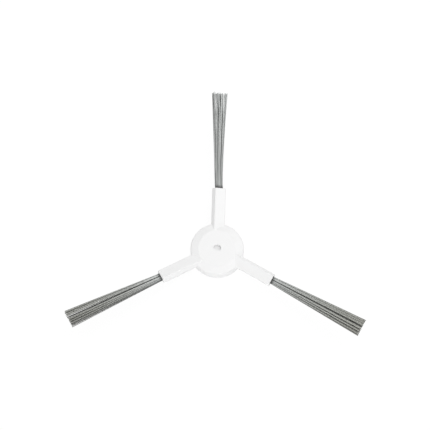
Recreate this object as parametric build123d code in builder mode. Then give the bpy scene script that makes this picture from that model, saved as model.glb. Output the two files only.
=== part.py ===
from build123d import *
import math
import os

# Robot vacuum side brush: a moulded hub with three pitched arms, each holding a folded tuft of bristles.
# Millimetres. The spin axis is Z, +Z points out of the face, and Z = 0 is the rim that seats on the robot.

# Hub: a low cap with a flat face, a sloped shoulder and a hollow underside
hub_diameter = 25.0
hub_height = 7.0
face_diameter = 17.6
shoulder_drop = 1.2
rim_round = 0.7
face_round = 0.9
skirt_wall = 1.5
cap_thickness = 1.6
dimple_diameter = 3.6
dimple_depth = 1.5

# Drive boss: a square socket for the motor stub, split by two slits so that it grips
boss_diameter = 10.0
drive_across_flats = 5.2
drive_corner_radius = 0.5
drive_depth = 4.2
drive_lead_in = 0.5
grip_slit_width = 0.9
grip_slit_depth = 3.2

# Ribs that tie the boss to the skirt, one under each arm and one between
rib_count = 6
rib_thickness = 1.1
rib_recess = 1.4

# Bristles: each filament is a hairpin folded round a flat metal anchor
filament_diameter = 0.25
filament_gap = 0.0125
filament_sides = 6
hairpins_across = 5
hairpin_rows = 6
tuft_length = 47.0
tuft_rise_angle = 9.65
tuft_tip_width = 8.0
tuft_tip_thickness = 2.6
tip_stagger = 0.6

# Anchors: strips that stand across the socket and bite into the arm above and below
anchor_thickness = 0.30
anchor_depth = 1.6
anchor_bite = 0.25
anchor_clearance = 0.02

# Arms: straight beams that rise outward, with the leading edge pitched up and bevelled.
# The socket in the end of each arm tips up further, so that the tuft reaches past the face.
arm_count = 3
first_arm_angle = 90.0
arm_length = 20.9
arm_root_radius = 8.8
arm_root_drop = 0.5
arm_root_overlap = 1.5
arm_rise_angle = 5.5
arm_pitch_angle = 15.0
arm_side_wall = 1.18
arm_face_wall = 0.36
arm_edge_radius = 0.5
arm_bevel_across = 0.95
arm_bevel_through = 1.8
arm_end_chamfer = 0.25
socket_clearance = 0.05
socket_depth = 6.5
socket_overrun = 0.5
socket_corner_radius = 0.3

# Sizes that follow from the ones above
hub_radius = hub_diameter / 2
face_radius = face_diameter / 2
boss_radius = boss_diameter / 2
cavity_radius = hub_radius - skirt_wall
skirt_height = hub_height - shoulder_drop
roof_height = hub_height - cap_thickness
filament_pitch = filament_diameter + filament_gap
bundle_half_width = anchor_thickness / 2 + hairpins_across * filament_pitch
bundle_half_height = hairpin_rows * filament_pitch / 2
outer_fold_depth = socket_depth - socket_clearance - filament_pitch / 2
anchor_back_depth = outer_fold_depth - (hairpins_across - 0.5) * filament_pitch
tip_half_width = tuft_tip_width / 2
tip_half_height = tuft_tip_thickness / 2
fan_at_mouth = (socket_depth + socket_overrun) / (socket_depth + tuft_length)
mouth_half_width = bundle_half_width + fan_at_mouth * (tip_half_width - bundle_half_width)
mouth_half_height = bundle_half_height + fan_at_mouth * (tip_half_height - bundle_half_height)
socket_floor_height = 2 * (bundle_half_height + socket_clearance)
socket_mouth_width = 2 * (mouth_half_width + socket_clearance)
socket_mouth_height = 2 * (mouth_half_height + socket_clearance)
anchor_height = socket_floor_height + 2 * anchor_bite
arm_width = socket_mouth_width + 2 * arm_side_wall
socket_lean = socket_depth / 2 * math.tan(math.radians(tuft_rise_angle - arm_rise_angle))
arm_thickness = socket_mouth_height + 2 * (arm_face_wall + socket_lean)
arm_angles = [first_arm_angle + index * 360 / arm_count for index in range(arm_count)]


def beam_directions(angle, rise):
    """Directions of one arm or tuft: outward along it, and across it with the leading edge pitched up."""
    outward = Vector(1, 0, 0).rotate(Axis.Z, angle)
    leading = Vector(0, 1, 0).rotate(Axis.Z, angle)
    along = outward.rotate(Axis((0, 0, 0), leading), -rise)
    across = leading.rotate(Axis((0, 0, 0), along), arm_pitch_angle)
    return along, across


def arm_plane(angle, distance):
    """Cross-section of one arm: x across it, y through its thickness and z outward along it."""
    along, across = beam_directions(angle, arm_rise_angle)
    root_height = hub_height - arm_root_drop - arm_thickness / 2
    root = Vector(arm_root_radius, 0, root_height).rotate(Axis.Z, angle)
    return Plane(origin=root, x_dir=across, z_dir=along).offset(distance)


def tuft_plane(angle, distance):
    """Cross-section of one tuft and its socket, which tip up about the middle of the socket's depth."""
    along, across = beam_directions(angle, tuft_rise_angle)
    pivot = arm_plane(angle, arm_length - socket_depth / 2).origin
    return Plane(origin=pivot, x_dir=across, z_dir=along).offset(socket_depth / 2 + distance)


def hairpin_points(column, row):
    """Corners of one folded filament, from tip to tip, in the tuft's plane at the arm's mouth."""
    row_share = row / (hairpin_rows - 1)
    fan_share = (column + tip_stagger * row_share) / (hairpins_across - 1 + tip_stagger)
    across = anchor_thickness / 2 + (column + 0.5) * filament_pitch
    through = -bundle_half_height + (row + 0.5) * filament_pitch
    fold = (hairpins_across - 1 - column) * filament_pitch - outer_fold_depth
    tip_across = across + fan_share * (tip_half_width - bundle_half_width)
    tip_through = through + (2 * row_share - 1) * (tip_half_height - bundle_half_height)
    return [
        (tip_across, tip_through, tuft_length),
        (across, through, fold),
        (-across, through, fold),
        (-tip_across, tip_through, tuft_length),
    ]


os.makedirs("parts", exist_ok=True)

# Hub and arms, one moulding
with BuildPart() as hub_with_arms:
    # Cap, turned from its half section
    with BuildSketch(Plane.XZ) as cap_section:
        with BuildLine():
            Polyline(
                (0, 0),
                (hub_radius, 0),
                (hub_radius, skirt_height),
                (face_radius, hub_height),
                (0, hub_height),
                close=True,
            )
        make_face()
        fillet(cap_section.vertices().sort_by_distance((hub_radius, skirt_height))[0], rim_round)
        fillet(cap_section.vertices().sort_by_distance((face_radius, hub_height))[0], face_round)
    revolve(axis=Axis.Z)

    # Arms, drawn from the mouth inward, with the outer end chamfered
    for angle in arm_angles:
        with BuildSketch(arm_plane(angle, arm_length)) as arm_section:
            with BuildLine():
                Polyline(
                    (-arm_width / 2, -arm_thickness / 2),
                    (arm_width / 2, -arm_thickness / 2),
                    (arm_width / 2, arm_thickness / 2 - arm_bevel_through),
                    (arm_width / 2 - arm_bevel_across, arm_thickness / 2),
                    (-arm_width / 2, arm_thickness / 2),
                    close=True,
                )
            make_face()
            fillet(arm_section.vertices(), arm_edge_radius)
        extrude(amount=-(arm_length + arm_root_overlap))
        arm_end = hub_with_arms.faces().sort_by_distance(arm_plane(angle, arm_length).origin)[0]
        chamfer(arm_end.edges(), arm_end_chamfer)

    # Dimple in the middle of the face
    with BuildSketch(Plane.XY.offset(hub_height)):
        Circle(dimple_diameter / 2)
    extrude(amount=-dimple_depth, mode=Mode.SUBTRACT)

    # Hollow underside, round the boss and up to the roof of the cap
    with BuildSketch(Plane.XZ):
        with BuildLine():
            Polyline(
                (boss_radius, 0),
                (cavity_radius, 0),
                (cavity_radius, skirt_height - cap_thickness),
                (face_radius, roof_height),
                (boss_radius, roof_height),
                close=True,
            )
        make_face()
    revolve(axis=Axis.Z, mode=Mode.SUBTRACT)

    # Ribs from the boss to the skirt
    rib_inner = boss_radius - rib_thickness / 2
    rib_outer = hub_radius - skirt_wall / 2
    with BuildSketch(Plane.XY.offset(rib_recess)):
        with PolarLocations((rib_inner + rib_outer) / 2, rib_count, start_angle=first_arm_angle):
            Rectangle(rib_outer - rib_inner, rib_thickness)
    extrude(amount=roof_height - rib_recess)

    # Drive socket with its lead-in and the grip slits
    with BuildSketch(Plane.XY):
        RectangleRounded(drive_across_flats, drive_across_flats, drive_corner_radius)
    extrude(amount=drive_depth, mode=Mode.SUBTRACT)
    with BuildSketch(Plane.XY):
        mouth_width = drive_across_flats + 2 * drive_lead_in
        RectangleRounded(mouth_width, mouth_width, drive_corner_radius + drive_lead_in)
    extrude(amount=drive_lead_in, taper=45, mode=Mode.SUBTRACT)
    with BuildSketch(Plane.XY):
        Rectangle(boss_diameter + grip_slit_width, grip_slit_width)
    extrude(amount=grip_slit_depth, mode=Mode.SUBTRACT)

    # Tuft sockets, each with the slot that its anchor is driven into
    for angle in arm_angles:
        with BuildSketch(tuft_plane(angle, socket_overrun)):
            RectangleRounded(socket_mouth_width, socket_mouth_height, socket_corner_radius)
        extrude(amount=-(socket_depth + socket_overrun), mode=Mode.SUBTRACT)
        with BuildSketch(tuft_plane(angle, -anchor_back_depth)):
            Rectangle(anchor_thickness + 2 * anchor_clearance, anchor_height + 2 * anchor_clearance)
        extrude(amount=anchor_depth + anchor_clearance, mode=Mode.SUBTRACT)

hub_with_arms.part.label = "hub_with_arms"
export_step(hub_with_arms.part, "parts/hub_with_arms.step")

for number, angle in enumerate(arm_angles, start=1):
    # Anchor strip, standing across the socket at the fold
    with BuildPart() as tuft_anchor:
        with BuildSketch(tuft_plane(angle, -anchor_back_depth)):
            Rectangle(anchor_thickness, anchor_height)
        extrude(amount=anchor_depth)
    tuft_anchor.part.label = f"tuft_anchor_{number}"
    export_step(tuft_anchor.part, f"parts/tuft_anchor_{number}.step")

    # Tuft, one swept hairpin for each filament, gathered before they join the tuft
    with BuildPart() as bristle_tuft:
        filaments = []
        for row in range(hairpin_rows):
            for column in range(hairpins_across):
                with BuildLine(tuft_plane(angle, 0)) as hairpin:
                    Polyline(*hairpin_points(column, row))
                with BuildSketch(Plane(origin=hairpin.line @ 0, z_dir=hairpin.line % 0)):
                    RegularPolygon(filament_diameter / 2, filament_sides)
                filaments.append(sweep(transition=Transition.RIGHT, mode=Mode.PRIVATE))
        add(filaments)
    bristle_tuft.part.label = f"bristle_tuft_{number}"
    export_step(bristle_tuft.part, f"parts/bristle_tuft_{number}.step")
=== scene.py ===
"""Robot vacuum side brush: finished moulding and anchors, tufts of separate filaments, and a stage."""

import math
import random
from typing import NamedTuple

import bpy
import numpy
from bpy.props import FloatProperty, FloatVectorProperty, IntProperty, IntVectorProperty, PointerProperty
from mathutils import Matrix, Vector


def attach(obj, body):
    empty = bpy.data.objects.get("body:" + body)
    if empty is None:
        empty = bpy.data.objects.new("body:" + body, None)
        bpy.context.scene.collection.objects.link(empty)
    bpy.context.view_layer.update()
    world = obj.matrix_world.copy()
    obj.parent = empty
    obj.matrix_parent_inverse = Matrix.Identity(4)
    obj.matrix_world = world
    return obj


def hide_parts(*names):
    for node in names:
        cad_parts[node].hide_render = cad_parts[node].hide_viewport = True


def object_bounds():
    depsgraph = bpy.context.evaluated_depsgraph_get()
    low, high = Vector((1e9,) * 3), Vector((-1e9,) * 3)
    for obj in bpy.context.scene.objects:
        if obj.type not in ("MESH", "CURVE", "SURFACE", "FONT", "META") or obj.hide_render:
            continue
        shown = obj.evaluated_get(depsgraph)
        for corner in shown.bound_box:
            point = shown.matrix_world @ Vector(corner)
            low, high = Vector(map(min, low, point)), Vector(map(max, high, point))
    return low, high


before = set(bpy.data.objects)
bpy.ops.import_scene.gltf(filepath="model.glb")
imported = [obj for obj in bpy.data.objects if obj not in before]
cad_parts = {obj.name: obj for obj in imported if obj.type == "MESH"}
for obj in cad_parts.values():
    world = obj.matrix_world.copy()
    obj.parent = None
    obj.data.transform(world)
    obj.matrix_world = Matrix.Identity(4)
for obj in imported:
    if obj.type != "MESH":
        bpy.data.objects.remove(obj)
cad_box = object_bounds()

bl_info = {
    "name": "Side Brush",
    "version": (1, 0, 0),
    "blender": (4, 5, 0),
    "location": "View3D > Sidebar > Side Brush",
    "description": "Models the filament tufts of a robot vacuum side brush and finishes its moulding",
    "category": "Object",
}

BRUSH_BODY = "root"
TUFT_NUMBERS = (1, 2, 3)
MILLIMETRE = 0.001

# Where a straight leg folds and where it leaves the arm, as shares of its length
FOLD_SHARE = 0.02
MOUTH_SHARE = 0.14

# How much of a leg outside the arm gets a painted shadow near the arm, and how much its blunted end takes
ROOT_SHADOW = 0.035
BLUNT_SHARE = 0.003

# Width of a blunted end, as a share of the filament's
BLUNT_TIP = 0.6

# Layers at the top of a tuft whose legs gather in locks
LOCK_LAYERS = 2

# Distance from a tuft's line within which the end of its arm is looked for
ARM_REACH = 6 * MILLIMETRE

# Edges of the filaments that turn by more than this stay sharp
SHARP_ANGLE = math.radians(70)

# Finishes
PLASTIC_IOR = 1.49
NYLON_IOR = 1.53
NOISE_ROUGHNESS = 0.55
GRAIN_DEPTH = 0.01 * MILLIMETRE

# Floor: its corners, its gap under the brush, and its glow, just past white
FLOOR_CORNERS = 64
FLOOR_GAP = 0.02 * MILLIMETRE
FLOOR_WHITE = 1.05


# Settings

class TuftSettings(bpy.types.PropertyGroup):
    """Sizes of the filaments and of each tuft's fan. Three values are one for each tuft."""

    filament_diameter: FloatProperty(
        name="Filament diameter", description="Thickness of one filament",
        default=0.25 * MILLIMETRE, min=0.05 * MILLIMETRE, unit="LENGTH", precision=5)
    filament_sides: IntProperty(
        name="Filament sides", description="Faces round one filament", default=8, min=3, max=12)
    leg_spans: IntProperty(
        name="Leg spans", description="Lengths that a leg is divided into outside the arm",
        default=6, min=2, max=12)
    hairpins_across: IntProperty(
        name="Hairpins across", description="Hairpins nested across one row of a tuft", default=5, min=2)
    hairpin_rows: IntProperty(
        name="Hairpin rows", description="Rows through the thickness of a tuft", default=6, min=3)
    lock_legs: IntVectorProperty(
        name="Lock legs", description="Legs of the upper rows that cling together in one lock",
        size=3, default=(3, 3, 3), min=1)
    tip_spread: FloatVectorProperty(
        name="Tip spread", description="Width of the fan at its tips, as a share of the solid's",
        size=3, default=(0.93, 1.02, 1.0), min=0.1)
    spread_power: FloatVectorProperty(
        name="Spread power", description="1 is an even fan; more keeps the tuft narrow until near its tips",
        size=3, default=(1.45, 0.97, 0.94), min=0.5)
    parting: FloatVectorProperty(
        name="Parting", description="Gap at the tips between the two halves of the upper rows",
        size=3, default=(0.5 * MILLIMETRE, 1.3 * MILLIMETRE, 1.1 * MILLIMETRE),
        unit="LENGTH", precision=5)
    parting_shift: FloatVectorProperty(
        name="Parting shift", description="How far the parting lies to the leading side at the tips",
        size=3, default=(0, -0.3 * MILLIMETRE, 0.6 * MILLIMETRE), unit="LENGTH", precision=5)
    mouth_parting: FloatVectorProperty(
        name="Mouth parting", description="Parting at the arm's mouth, as a share of that at the tips",
        size=3, default=(0.1, 0.4, 0.35), min=0, max=1)
    side_lean: FloatVectorProperty(
        name="Side lean", description="How far the tips bend towards the leading side",
        size=3, default=(0.96 * MILLIMETRE, 0, 0), unit="LENGTH", precision=5)
    bow: FloatVectorProperty(
        name="Bow", description="How far a filament strays sideways between the arm and its tip",
        size=3, default=(0.25 * MILLIMETRE, 0.03 * MILLIMETRE, 0.03 * MILLIMETRE),
        unit="LENGTH", precision=5)
    scatter: FloatVectorProperty(
        name="Scatter", description="How far the tips stray from their places in the fan",
        size=3, default=(0.25 * MILLIMETRE, 0.04 * MILLIMETRE, 0.04 * MILLIMETRE),
        unit="LENGTH", precision=5)
    raggedness: FloatVectorProperty(
        name="Raggedness", description="How much shorter the shortest filament is than the longest",
        size=3, default=(0.9 * MILLIMETRE, 0.3 * MILLIMETRE, 0.3 * MILLIMETRE),
        unit="LENGTH", precision=5)
    # Painted light and shade: the tufts are one nylon, and this level stands in for how the light falls on
    # each tuft
    painted_lightness: FloatVectorProperty(
        name="Lightness", description="Shade of each tuft as a share of the bristle colour",
        size=3, default=(0.93, 1.19, 1.04), min=0)
    # Painted light and shade along each tuft: tuft 1 gets painted light at its tips, tufts 2 and 3 painted
    # shade
    tip_painted_lightness: FloatVectorProperty(
        name="Tip lightness", description="Shade of the tips as a share of that at the arm",
        size=3, default=(1.18, 0.44, 0.7), min=0)
    tip_warmth: FloatVectorProperty(
        name="Tip warmth", description="How far the tips take on the warmer tip colour",
        size=3, default=(0, 1, 1), min=0, max=1)
    # Painted shade for the lower rows and for the first leg of each lock, standing in for the shade between
    # the filaments
    painted_depth_shade: FloatVectorProperty(
        name="Depth contrast", description="How much darker the lower rows and the first leg of a lock are",
        size=3, default=(0.58, 0.62, 0.6), min=0, max=1)
    shade_variation: FloatProperty(
        name="Shade variation", description="How far the shades of single filaments differ",
        subtype="FACTOR", default=0.10, min=0, max=1)
    seed: IntVectorProperty(
        name="Seed", description="Start of the random draws of each tuft",
        size=3, default=(2260, 132, 650), min=0)


class FinishSettings(bpy.types.PropertyGroup):
    """Colours and gloss of the moulding, the filaments and the anchors."""

    plastic_color: FloatVectorProperty(
        name="Plastic", description="White of the moulding", subtype="COLOR", size=3,
        default=(0.90, 0.90, 0.90), min=0, max=1)
    plastic_roughness: FloatProperty(
        name="Plastic roughness", description="Satin of the moulding",
        subtype="FACTOR", default=0.42, min=0, max=1)
    bristle_root_color: FloatVectorProperty(
        name="Bristle root", description="Grey of the filaments near the arm", subtype="COLOR", size=3,
        default=(0.58, 0.598, 0.589), min=0, max=1)
    bristle_tip_color: FloatVectorProperty(
        name="Bristle tip", description="Grey of the filaments near their tips", subtype="COLOR", size=3,
        default=(0.58, 0.585, 0.53), min=0, max=1)
    bristle_roughness: FloatProperty(
        name="Bristle roughness", description="Gloss of the nylon",
        subtype="FACTOR", default=0.34, min=0, max=1)
    steel_color: FloatVectorProperty(
        name="Steel", description="Metal of the anchor strips", subtype="COLOR", size=3,
        default=(0.56, 0.56, 0.57), min=0, max=1)
    steel_roughness: FloatProperty(
        name="Steel roughness", description="Gloss of the anchor strips",
        subtype="FACTOR", default=0.37, min=0, max=1)


class StageSettings(bpy.types.PropertyGroup):
    """Floor, light and camera."""

    floor_radius: FloatProperty(
        name="Floor radius", description="Reach of the pale floor", default=2.0, min=0.2, unit="LENGTH")
    floor_color: FloatVectorProperty(
        name="Floor", description="Pale floor", subtype="COLOR", size=3,
        default=(0.82, 0.82, 0.82), min=0, max=1)
    floor_glow: FloatProperty(
        name="Floor glow", description="Share of plain white in the floor that the camera sees",
        subtype="FACTOR", default=0.88, min=0, max=1)
    light_distance: FloatProperty(
        name="Light distance", description="From the brush to each soft box",
        default=1.2, min=0.1, unit="LENGTH")
    light_size: FloatProperty(
        name="Light size", description="Width of each soft box", default=1.2, min=0.01, unit="LENGTH")
    key_power: FloatProperty(
        name="Key power", description="Power of the soft box overhead", default=1.75, min=0, unit="POWER")
    key_elevation: FloatProperty(
        name="Key elevation", description="Height of the key above the horizon",
        default=math.radians(88), subtype="ANGLE")
    front_power: FloatProperty(
        name="Front power", description="Power of the low soft box in front",
        default=8.3, min=0, unit="POWER")
    front_azimuth: FloatProperty(
        name="Front azimuth", description="Where the key and the front box stand",
        default=math.radians(-90), subtype="ANGLE")
    front_elevation: FloatProperty(
        name="Front elevation", description="Height of the front box above the horizon",
        default=math.radians(20), subtype="ANGLE")
    right_power: FloatProperty(
        name="Right power", description="Power of the soft box at the right",
        default=6.7, min=0, unit="POWER")
    right_azimuth: FloatProperty(
        name="Right azimuth", description="Where the right box stands",
        default=math.radians(45), subtype="ANGLE")
    left_power: FloatProperty(
        name="Left power", description="Power of the soft box at the left",
        default=2.9, min=0, unit="POWER")
    left_azimuth: FloatProperty(
        name="Left azimuth", description="Where the left box stands",
        default=math.radians(135), subtype="ANGLE")
    side_elevation: FloatProperty(
        name="Side elevation", description="Height of the right and left boxes above the horizon",
        default=math.radians(50), subtype="ANGLE")
    ambient: FloatProperty(
        name="Ambient", description="Level of the light from all round", default=0.305, min=0)
    camera_target: FloatVectorProperty(
        name="Camera target", description="Point in the middle of the picture", size=3,
        default=(-1.54 * MILLIMETRE, 16.26 * MILLIMETRE, 7.0 * MILLIMETRE), subtype="XYZ", unit="LENGTH")
    camera_distance: FloatProperty(
        name="Camera distance", description="From the target to the lens",
        default=0.494, min=0.05, unit="LENGTH")
    camera_tilt: FloatProperty(
        name="Camera tilt", description="Lean of the view from straight down",
        default=math.radians(19.12), subtype="ANGLE")
    camera_turn: FloatProperty(
        name="Camera turn", description="Side that the view leans to",
        default=math.radians(-88.20), subtype="ANGLE")
    camera_roll: FloatProperty(
        name="Camera roll", description="Turn of the picture about its middle",
        default=math.radians(1.85), subtype="ANGLE")
    camera_lens: FloatProperty(
        name="Camera lens", description="Focal length in millimetres", default=87.71, min=1)


# Materials

def add_node(tree, kind, settings=None, inputs=None):
    """One node with its settings, and with its inputs set to values or linked to other nodes' sockets."""
    node = tree.nodes.new(kind)
    for name, value in (settings or {}).items():
        setattr(node, name, value)
    for name, value in (inputs or {}).items():
        if isinstance(value, bpy.types.NodeSocket):
            tree.links.new(value, node.inputs[name])
        else:
            node.inputs[name].default_value = value
    return node


def new_material(name):
    """A material with only its output and one Principled shader, joined up."""
    material = bpy.data.materials.new(name)
    material.use_nodes = True
    tree = material.node_tree
    tree.nodes.clear()
    shader = add_node(tree, "ShaderNodeBsdfPrincipled")
    output = add_node(tree, "ShaderNodeOutputMaterial")
    tree.links.new(shader.outputs["BSDF"], output.inputs["Surface"])
    return material, tree, shader


def object_noise(tree, scale, detail, stretch=(1, 1, 1)):
    """Noise that is fixed to the piece, with about as many waves to a metre as its scale says."""
    place = add_node(tree, "ShaderNodeTexCoord")
    mapping = add_node(tree, "ShaderNodeMapping", inputs={
        "Vector": place.outputs["Object"], "Scale": stretch})
    noise = add_node(tree, "ShaderNodeTexNoise", inputs={
        "Vector": mapping.outputs["Vector"], "Scale": scale, "Detail": detail,
        "Roughness": NOISE_ROUGHNESS})
    return noise.outputs["Fac"]


def vertex_value(tree, name):
    """A number that the mesh holds at each vertex."""
    return add_node(tree, "ShaderNodeAttribute", {"attribute_name": name}).outputs["Fac"]


def ranged(tree, value, low, high, start=0.0, end=1.0):
    """The value carried from start..end to low..high, held at both ends."""
    node = add_node(tree, "ShaderNodeMapRange", inputs={
        "Value": value, "From Min": start, "From Max": end, "To Min": low, "To Max": high})
    return node.outputs["Result"]


def mixed_color(tree, factor, first, second, blend="MIX"):
    """Two colours mixed by a factor."""
    node = add_node(tree, "ShaderNodeMix", {"data_type": "RGBA", "blend_type": blend}, {
        0: factor, 6: first, 7: second})
    return node.outputs[2]


def opaque(color, share=1.0):
    """A settings colour as a node colour, made lighter or darker by a share."""
    return (color[0] * share, color[1] * share, color[2] * share, 1.0)


def vary_color(tree, shader, noise, color, low, high):
    """Let the shader's colour waver between two shares of one colour."""
    varied = mixed_color(tree, noise, opaque(color, low), opaque(color, high))
    tree.links.new(varied, shader.inputs["Base Color"])


def vary_roughness(tree, shader, noise, middle, reach):
    """Let the shader's roughness waver to both sides of its middle."""
    varied = ranged(tree, noise, middle - reach, middle + reach)
    tree.links.new(varied, shader.inputs["Roughness"])


def raise_grain(tree, shader, noise, strength):
    """Let the noise stand out of the surface as a fine grain."""
    bump = add_node(tree, "ShaderNodeBump", inputs={
        "Height": noise, "Strength": strength, "Distance": GRAIN_DEPTH})
    tree.links.new(bump.outputs["Normal"], shader.inputs["Normal"])


def white_plastic(finish):
    """Satin white moulding with a fine grain, and a faint cloudiness in its colour and gloss."""
    material, tree, shader = new_material("white_plastic")
    clouds = object_noise(tree, scale=90, detail=3)
    vary_color(tree, shader, clouds, finish.plastic_color, low=0.985, high=1.01)
    vary_roughness(tree, shader, clouds, finish.plastic_roughness, reach=0.05)
    grain = object_noise(tree, scale=5200, detail=2)
    raise_grain(tree, shader, grain, strength=0.12)
    shader.inputs["IOR"].default_value = PLASTIC_IOR
    return material


def anchor_steel(finish):
    """Rolled steel strip with fine lines along it."""
    material, tree, shader = new_material("anchor_steel")
    lines = object_noise(tree, scale=2500, detail=4, stretch=(6, 6, 0.4))
    vary_color(tree, shader, lines, finish.steel_color, low=0.85, high=1.1)
    vary_roughness(tree, shader, lines, finish.steel_roughness, reach=0.09)
    raise_grain(tree, shader, lines, strength=0.1)
    shader.inputs["Metallic"].default_value = 1.0
    return material


def grey_bristle(finish):
    """Grey nylon. Each filament has a shade of its own, partly random tone and partly painted light and
    shade, and a warmth of its own, and a painted shadow darkens it just outside the arm.
    """
    material, tree, shader = new_material("grey_bristle")
    tint = mixed_color(
        tree, vertex_value(tree, "warmth"),
        opaque(finish.bristle_root_color), opaque(finish.bristle_tip_color))
    # The shade attribute multiplies the colour: random tone, with painted light and shade for each tuft, its
    # lower rows, its locks and its tips
    shaded = mixed_color(tree, 1.0, tint, vertex_value(tree, "shade"), "MULTIPLY")
    # Painted shadow on the filaments just outside the arm, darkest at the mouth
    root_shadow = ranged(tree, vertex_value(tree, "reach"), 0.0, 1.0, end=ROOT_SHADOW)
    color = mixed_color(tree, 1.0, shaded, root_shadow, "MULTIPLY")
    tree.links.new(color, shader.inputs["Base Color"])
    streaks = object_noise(tree, scale=1500, detail=2)
    vary_roughness(tree, shader, streaks, finish.bristle_roughness, reach=0.06)
    shader.inputs["IOR"].default_value = NYLON_IOR
    return material


def direct_ray(tree):
    """1 for a ray from the camera, mirrored or let through, and 0 for the light that falls on the brush."""
    path = add_node(tree, "ShaderNodeLightPath")
    sharp = add_node(tree, "ShaderNodeMath", {"operation": "MAXIMUM"}, {
        0: path.outputs["Is Glossy Ray"], 1: path.outputs["Is Transmission Ray"]})
    either = add_node(tree, "ShaderNodeMath", {"operation": "MAXIMUM"}, {
        0: path.outputs["Is Camera Ray"], 1: sharp.outputs["Value"]})
    return either.outputs["Value"]


def pale_floor(stage):
    """Pale floor that lights the brush from below, and that the camera sees as white with a faint shadow."""
    material, tree, shader = new_material("pale_floor")
    grain = object_noise(tree, scale=40, detail=2)
    vary_color(tree, shader, grain, stage.floor_color, low=0.99, high=1.01)
    shader.inputs["Roughness"].default_value = 1.0
    shader.inputs["Specular IOR Level"].default_value = 0.0
    glow = add_node(tree, "ShaderNodeEmission", inputs={"Strength": FLOOR_WHITE})
    seen = add_node(tree, "ShaderNodeMixShader", inputs={
        "Fac": stage.floor_glow, 1: shader.outputs["BSDF"], 2: glow.outputs["Emission"]})
    surface = add_node(tree, "ShaderNodeMixShader", inputs={
        "Fac": direct_ray(tree), 1: shader.outputs["BSDF"], 2: seen.outputs["Shader"]})
    output = tree.nodes["Material Output"]
    tree.links.new(surface.outputs["Shader"], output.inputs["Surface"])
    return material


def dress(piece, material):
    """Give a piece one material for all its faces."""
    piece.data.materials.clear()
    piece.data.materials.append(material)


# Tufts

class TuftFrame(NamedTuple):
    """Where one tuft lies, measured from the middle of its anchor strip.

    Across, through and along are its directions. Fold, mouth and tip are places along it, and the half
    sizes are those of the tuft inside the arm, at the mouth and at the tip, across and through it.
    """

    middle: Vector
    across: Vector
    through: Vector
    along: Vector
    fold: float
    mouth: float
    tip: float
    strip_half_width: float
    root_half: Vector
    mouth_half: Vector
    tip_half: Vector


class Leg(NamedTuple):
    """One leg of a hairpin: three points of it in the tuft's directions, its bend, and its look."""

    root: Vector
    mouth: Vector
    tip: Vector
    power: float
    lean: float
    bow: float
    shade: float
    tip_shade: float
    tip_warmth: float


def node_points(name):
    """Corners of a solid, each once."""
    corners = [tuple(vertex.co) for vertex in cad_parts[name].data.vertices]
    return numpy.unique(numpy.round(corners, 8), axis=0)


def tuft_frame(number):
    """Where one tuft lies, from the anchor strip that it is folded round and the solid that it stands for.

    The strip is thinnest across the tuft, deeper along it and tallest through it.
    """
    strip = node_points(f"tuft_anchor_{number}")
    middle = strip.mean(axis=0)
    axes = numpy.linalg.eigh(numpy.cov((strip - middle).T))[1]
    along = axes[:, 1] * math.copysign(1, axes[:, 1] @ middle)
    through = axes[:, 2] * math.copysign(1, axes[2, 2])
    across = numpy.cross(through, along)
    directions = numpy.stack((across, through, along)).T
    tuft = (node_points(f"bristle_tuft_{number}") - middle) @ directions
    hub = (node_points("hub_with_arms") - middle) @ directions
    beside = (numpy.abs(hub[:, :2]) < ARM_REACH).all(axis=1)
    folded = tuft[tuft[:, 2] < 0]
    fold = tuft[:, 2].min()
    mouth = hub[beside, 2].max()
    tip = tuft[:, 2].max()
    root_half = Vector(numpy.abs(folded[:, :2]).max(axis=0))
    tip_half = Vector(numpy.abs(tuft[:, :2]).max(axis=0))
    return TuftFrame(
        Vector(middle), Vector(across), Vector(through), Vector(along), fold, mouth, tip,
        strip_half_width=numpy.abs((strip - middle) @ across).max(),
        root_half=root_half,
        mouth_half=root_half.lerp(tip_half, (mouth - fold) / (tip - fold)),
        tip_half=tip_half)


def leg_stations(tufts):
    """Places of the rings along one leg of a straight filament: fold, mouth and on to the tip."""
    reaches = [0, ROOT_SHADOW]
    reaches += [span / tufts.leg_spans for span in range(1, tufts.leg_spans)]
    reaches += [1 - BLUNT_SHARE, 1]
    return [FOLD_SHARE] + [MOUTH_SHARE + (1 - MOUTH_SHARE) * reach for reach in reaches]


def straight_filament(tufts):
    """One filament along Z from -1 to 1, drawn out of a disc ring by ring, with both ends blunted."""
    bpy.ops.object.select_all(action="DESELECT")
    bpy.ops.mesh.primitive_circle_add(
        vertices=tufts.filament_sides, radius=tufts.filament_diameter / 2,
        fill_type="NGON", location=(0, 0, -1))
    filament = bpy.context.object
    bpy.ops.object.transform_apply(location=True)
    bpy.ops.object.mode_set(mode="EDIT")
    bpy.ops.mesh.select_all(action="SELECT")
    bpy.ops.transform.resize(value=(BLUNT_TIP, BLUNT_TIP, 1))
    leg = leg_stations(tufts)
    stations = [-station for station in reversed(leg)] + leg
    for start, end in zip(stations, stations[1:]):
        bpy.ops.mesh.extrude_region_move(TRANSFORM_OT_translate={"value": (0, 0, end - start)})
        if start == stations[0]:
            bpy.ops.transform.resize(value=(1 / BLUNT_TIP, 1 / BLUNT_TIP, 1))
    bpy.ops.transform.resize(value=(BLUNT_TIP, BLUNT_TIP, 1))
    bpy.ops.mesh.select_all(action="SELECT")
    bpy.ops.mesh.normals_make_consistent(inside=False)
    bpy.ops.object.mode_set(mode="OBJECT")
    return filament


def lock_slot(tufts, index, column, layer):
    """Which lock a leg of the upper layers clings to, and its place in it, both from the middle outwards."""
    return divmod(column * LOCK_LAYERS + layer, tufts.lock_legs[index])


def leg_shade(tufts, index, column, layer):
    """Painted light and shade of a leg: each tuft has its own painted level, the lower layers get painted
    shade, and so does the first leg of each lock but the inmost.
    """
    light = tufts.painted_lightness[index]
    dark = light * (1 - tufts.painted_depth_shade[index])
    if layer >= LOCK_LAYERS:
        return dark
    lock, slot = lock_slot(tufts, index, column, layer)
    return dark if lock and not slot else light


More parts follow.
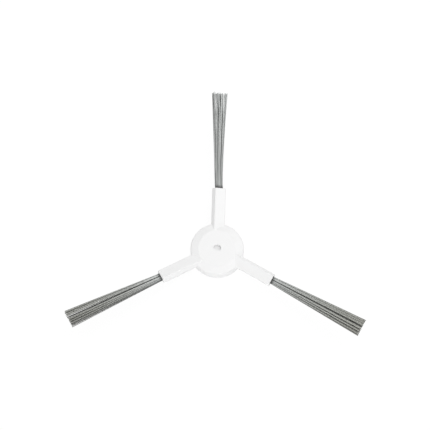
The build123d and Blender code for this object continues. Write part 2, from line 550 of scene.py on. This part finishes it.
def across_place(tufts, index, half_width, inner_edge, column, layer):
    """Distance of a leg from the tuft's middle: the upper layers gather in locks, the lower lie evenly."""
    diameter = tufts.filament_diameter
    outer = half_width - diameter / 2
    if layer < LOCK_LAYERS:
        inner = inner_edge + diameter / 2
        lock, slot = lock_slot(tufts, index, column, layer)
        leg_pitch = (outer - inner) / (tufts.hairpins_across * LOCK_LAYERS - 1)
        return inner + lock * leg_pitch * tufts.lock_legs[index] + slot * min(diameter, leg_pitch)
    low_layers = tufts.hairpin_rows - LOCK_LAYERS
    share = (column * low_layers + layer - LOCK_LAYERS) / (tufts.hairpins_across * low_layers - 1)
    return diameter / 2 + share * (outer - diameter / 2)


def through_places(tufts, place, layer):
    """Heights of a leg in the tuft at its root, mouth and tip. The upper layers lie close at their tips."""
    radius = tufts.filament_diameter / 2
    level = 1 - 2 * layer / (tufts.hairpin_rows - 1)
    root = (place.root_half.y - radius) * level
    mouth = (place.mouth_half.y - radius) * level
    tip = (place.tip_half.y - radius) * level
    if layer < LOCK_LAYERS:
        tip = place.tip_half.y - radius - layer * radius
    return root, mouth, tip


def hairpin_legs(tufts, index, place, column, layer, draw):
    """The two legs of one hairpin, spread into the fan with a little scatter. Layer 0 is the top one."""
    root_pitch = (place.root_half.x - place.strip_half_width) / tufts.hairpins_across
    root_across = place.strip_half_width + (column + 0.5) * root_pitch
    outer_hairpins = tufts.hairpins_across - 1 - column
    fold = place.fold + tufts.filament_diameter / 2 + outer_hairpins * root_pitch
    root_through, mouth_through, tip_through = through_places(tufts, place, layer)
    tip_half_width = place.tip_half.x * tufts.tip_spread[index]
    shade = leg_shade(tufts, index, column, layer)
    scatter = tufts.scatter[index]
    legs = {}
    for side in (-1, 1):
        tip_edge = tufts.parting[index] / 2 + side * tufts.parting_shift[index]
        mouth_edge = tip_edge * tufts.mouth_parting[index]
        mouth_across = across_place(tufts, index, place.mouth_half.x, mouth_edge, column, layer)
        tip_across = across_place(tufts, index, tip_half_width, tip_edge, column, layer)
        tip = Vector((
            side * tip_across + draw.gauss(0, scatter),
            tip_through + draw.gauss(0, scatter),
            place.tip - tufts.raggedness[index] * draw.random()))
        own_shade = shade * (1 + tufts.shade_variation * draw.uniform(-1, 1))
        legs[side] = Leg(
            root=Vector((side * root_across, root_through, fold)),
            mouth=Vector((side * mouth_across, mouth_through, place.mouth)),
            tip=tip,
            power=tufts.spread_power[index],
            lean=tufts.side_lean[index],
            bow=draw.gauss(0, tufts.bow[index]),
            shade=own_shade,
            # Painted light and shade at the tip
            tip_shade=own_shade * tufts.tip_painted_lightness[index],
            tip_warmth=tufts.tip_warmth[index])
    return legs


def leg_point(leg, reach):
    """Point of a leg, as across, through and along. Reach is 0 at the mouth, 1 at the tip, less inside."""
    if reach < 0:
        return leg.root.copy()
    point = leg.mouth.lerp(leg.tip, reach ** leg.power)
    stray = leg.lean * math.sqrt(reach) + leg.bow * math.sin(math.pi * reach)
    return Vector((point.x + stray, point.y, leg.mouth.z + (leg.tip.z - leg.mouth.z) * reach))


def bend_hairpin(mesh, place, legs):
    """Bend a straight filament into a hairpin with the two legs given, and note its look all along."""
    looks = {"reach": [], "shade": [], "warmth": []}
    for vertex in mesh.vertices:
        side = 1 if vertex.co.z > 0 else -1
        leg = legs[side]
        reach = round((abs(vertex.co.z) - MOUTH_SHARE) / (1 - MOUTH_SHARE), 4)
        point = leg_point(leg, reach)
        outward = side * place.across
        if reach < 0:
            outward = outward - place.along
        centre = place.middle + place.across * point.x + place.through * point.y + place.along * point.z
        vertex.co = centre + outward * vertex.co.x + place.through * vertex.co.y
        reach = max(0.0, reach)
        looks["reach"].append(reach)
        # Painted light and shade, with the leg's own random tone, carried from the arm to the tip
        looks["shade"].append(leg.shade + (leg.tip_shade - leg.shade) * reach)
        looks["warmth"].append(leg.tip_warmth * reach)
    for name, values in looks.items():
        attribute = mesh.attributes.new(name, "FLOAT", "POINT")
        attribute.data.foreach_set("value", values)


def build_tuft(tufts, number, filament, material):
    """One tuft: copies of the filament, each bent into its own hairpin, joined into one piece."""
    index = number - 1
    draw = random.Random(tufts.seed[index])
    place = tuft_frame(number)
    hairpins = []
    for layer in range(tufts.hairpin_rows):
        for column in range(tufts.hairpins_across):
            hairpin = filament.copy()
            hairpin.data = filament.data.copy()
            bpy.context.collection.objects.link(hairpin)
            bend_hairpin(hairpin.data, place, hairpin_legs(tufts, index, place, column, layer, draw))
            hairpins.append(hairpin)
    bpy.ops.object.select_all(action="DESELECT")
    for hairpin in hairpins:
        hairpin.select_set(True)
    bpy.context.view_layer.objects.active = hairpins[0]
    bpy.ops.object.join()
    bpy.ops.object.shade_smooth_by_angle(angle=SHARP_ANGLE)
    tuft = bpy.context.object
    tuft.name = f"filament_tuft_{number}"
    dress(tuft, material)
    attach(tuft, BRUSH_BODY)
    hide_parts(f"bristle_tuft_{number}")


# Stage

def lay_floor(stage):
    """A round pale floor just under the rim that the brush rests on."""
    bpy.ops.object.select_all(action="DESELECT")
    bpy.ops.mesh.primitive_circle_add(
        vertices=FLOOR_CORNERS, radius=stage.floor_radius, fill_type="NGON")
    floor = bpy.context.object
    floor.name = "floor"
    floor.data.transform(Matrix.Translation((0, 0, cad_box[0].z - FLOOR_GAP)))
    dress(floor, pale_floor(stage))


def add_soft_box(stage, name, power, elevation, azimuth):
    """A round soft box that faces the brush from one side."""
    level = math.cos(elevation)
    toward = Vector((level * math.cos(azimuth), level * math.sin(azimuth), math.sin(elevation)))
    bpy.ops.object.light_add(
        type="AREA", location=toward * stage.light_distance,
        rotation=toward.to_track_quat("Z", "Y").to_euler())
    light = bpy.context.object
    light.name = name
    light.data.shape = "DISK"
    light.data.size = stage.light_size
    light.data.energy = power


def light_brush(scene, stage):
    """Soft boxes overhead, low in front and at both sides, and an even light from all round."""
    add_soft_box(stage, "key_light", stage.key_power, stage.key_elevation, stage.front_azimuth)
    add_soft_box(stage, "front_light", stage.front_power, stage.front_elevation, stage.front_azimuth)
    add_soft_box(stage, "right_light", stage.right_power, stage.side_elevation, stage.right_azimuth)
    add_soft_box(stage, "left_light", stage.left_power, stage.side_elevation, stage.left_azimuth)
    world = bpy.data.worlds.new("surroundings")
    world.use_nodes = True
    tree = world.node_tree
    tree.nodes.clear()
    even = add_node(tree, "ShaderNodeBackground", inputs={"Strength": stage.ambient})
    seen = add_node(tree, "ShaderNodeBackground", inputs={"Strength": 1.0})
    for background in (even, seen):
        background.inputs["Color"].default_value = (1, 1, 1, 1)
    surface = add_node(tree, "ShaderNodeMixShader", inputs={
        "Fac": direct_ray(tree), 1: even.outputs["Background"], 2: seen.outputs["Background"]})
    output = add_node(tree, "ShaderNodeOutputWorld")
    tree.links.new(surface.outputs["Shader"], output.inputs["Surface"])
    scene.world = world


def place_camera(scene, stage):
    """A long lens above the brush, leaning towards the viewer."""
    lean = math.sin(stage.camera_tilt)
    toward = Vector((
        lean * math.cos(stage.camera_turn),
        lean * math.sin(stage.camera_turn),
        math.cos(stage.camera_tilt)))
    level_right = Vector((0, 1, 0)).cross(toward).normalized()
    level_up = toward.cross(level_right)
    right = math.cos(stage.camera_roll) * level_right + math.sin(stage.camera_roll) * level_up
    up = toward.cross(right)
    bpy.ops.object.camera_add(
        location=Vector(stage.camera_target) + toward * stage.camera_distance,
        rotation=Matrix((right, up, toward)).transposed().to_euler())
    camera = bpy.context.object
    camera.name = "camera"
    camera.data.lens = stage.camera_lens
    scene.camera = camera


# Operators

class SIDE_BRUSH_OT_moulding(bpy.types.Operator):
    """Give the hub and its arms their satin white finish"""

    bl_idname = "side_brush.moulding"
    bl_label = "Finish Moulding"

    def execute(self, context):
        dress(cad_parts["hub_with_arms"], white_plastic(context.scene.side_brush_finish))
        return {"FINISHED"}


class SIDE_BRUSH_OT_anchors(bpy.types.Operator):
    """Give the anchor strips their rolled steel finish"""

    bl_idname = "side_brush.anchors"
    bl_label = "Finish Anchors"

    def execute(self, context):
        steel = anchor_steel(context.scene.side_brush_finish)
        for number in TUFT_NUMBERS:
            dress(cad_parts[f"tuft_anchor_{number}"], steel)
        return {"FINISHED"}


class SIDE_BRUSH_OT_tufts(bpy.types.Operator):
    """Model the three tufts, filament by filament, in place of their plain solids"""

    bl_idname = "side_brush.tufts"
    bl_label = "Build Tufts"

    def execute(self, context):
        tufts = context.scene.side_brush_tufts
        material = grey_bristle(context.scene.side_brush_finish)
        filament = straight_filament(tufts)
        for number in TUFT_NUMBERS:
            build_tuft(tufts, number, filament, material)
        bpy.data.objects.remove(filament)
        return {"FINISHED"}


class SIDE_BRUSH_OT_stage(bpy.types.Operator):
    """Set up the floor, the soft light and the camera"""

    bl_idname = "side_brush.stage"
    bl_label = "Set Up Stage"

    def execute(self, context):
        stage = context.scene.side_brush_stage
        lay_floor(stage)
        light_brush(context.scene, stage)
        place_camera(context.scene, stage)
        context.scene.view_settings.view_transform = "Standard"
        return {"FINISHED"}


class SIDE_BRUSH_PT_panel(bpy.types.Panel):
    """The steps of the side brush, in the 3D view's sidebar"""

    bl_label = "Side Brush"
    bl_idname = "SIDE_BRUSH_PT_panel"
    bl_space_type = "VIEW_3D"
    bl_region_type = "UI"
    bl_category = "Side Brush"

    def draw(self, context):
        for operator in OPERATORS:
            self.layout.operator(operator.bl_idname)
        for name in SETTINGS:
            settings = getattr(context.scene, name)
            box = self.layout.box()
            for prop in settings.bl_rna.properties:
                if not prop.is_readonly and prop.identifier != "name":
                    box.prop(settings, prop.identifier)


OPERATORS = (SIDE_BRUSH_OT_moulding, SIDE_BRUSH_OT_anchors, SIDE_BRUSH_OT_tufts, SIDE_BRUSH_OT_stage)
SETTINGS = {
    "side_brush_tufts": TuftSettings,
    "side_brush_finish": FinishSettings,
    "side_brush_stage": StageSettings,
}
CLASSES = (*SETTINGS.values(), *OPERATORS, SIDE_BRUSH_PT_panel)


def register():
    for cls in CLASSES:
        bpy.utils.register_class(cls)
    for name, settings in SETTINGS.items():
        setattr(bpy.types.Scene, name, PointerProperty(type=settings))


def unregister():
    for name in SETTINGS:
        delattr(bpy.types.Scene, name)
    for cls in reversed(CLASSES):
        bpy.utils.unregister_class(cls)


def main():
    register()
    bpy.ops.side_brush.moulding()
    bpy.ops.side_brush.anchors()
    bpy.ops.side_brush.tufts()
    bpy.ops.side_brush.stage()


if __name__ == "__main__":
    main()
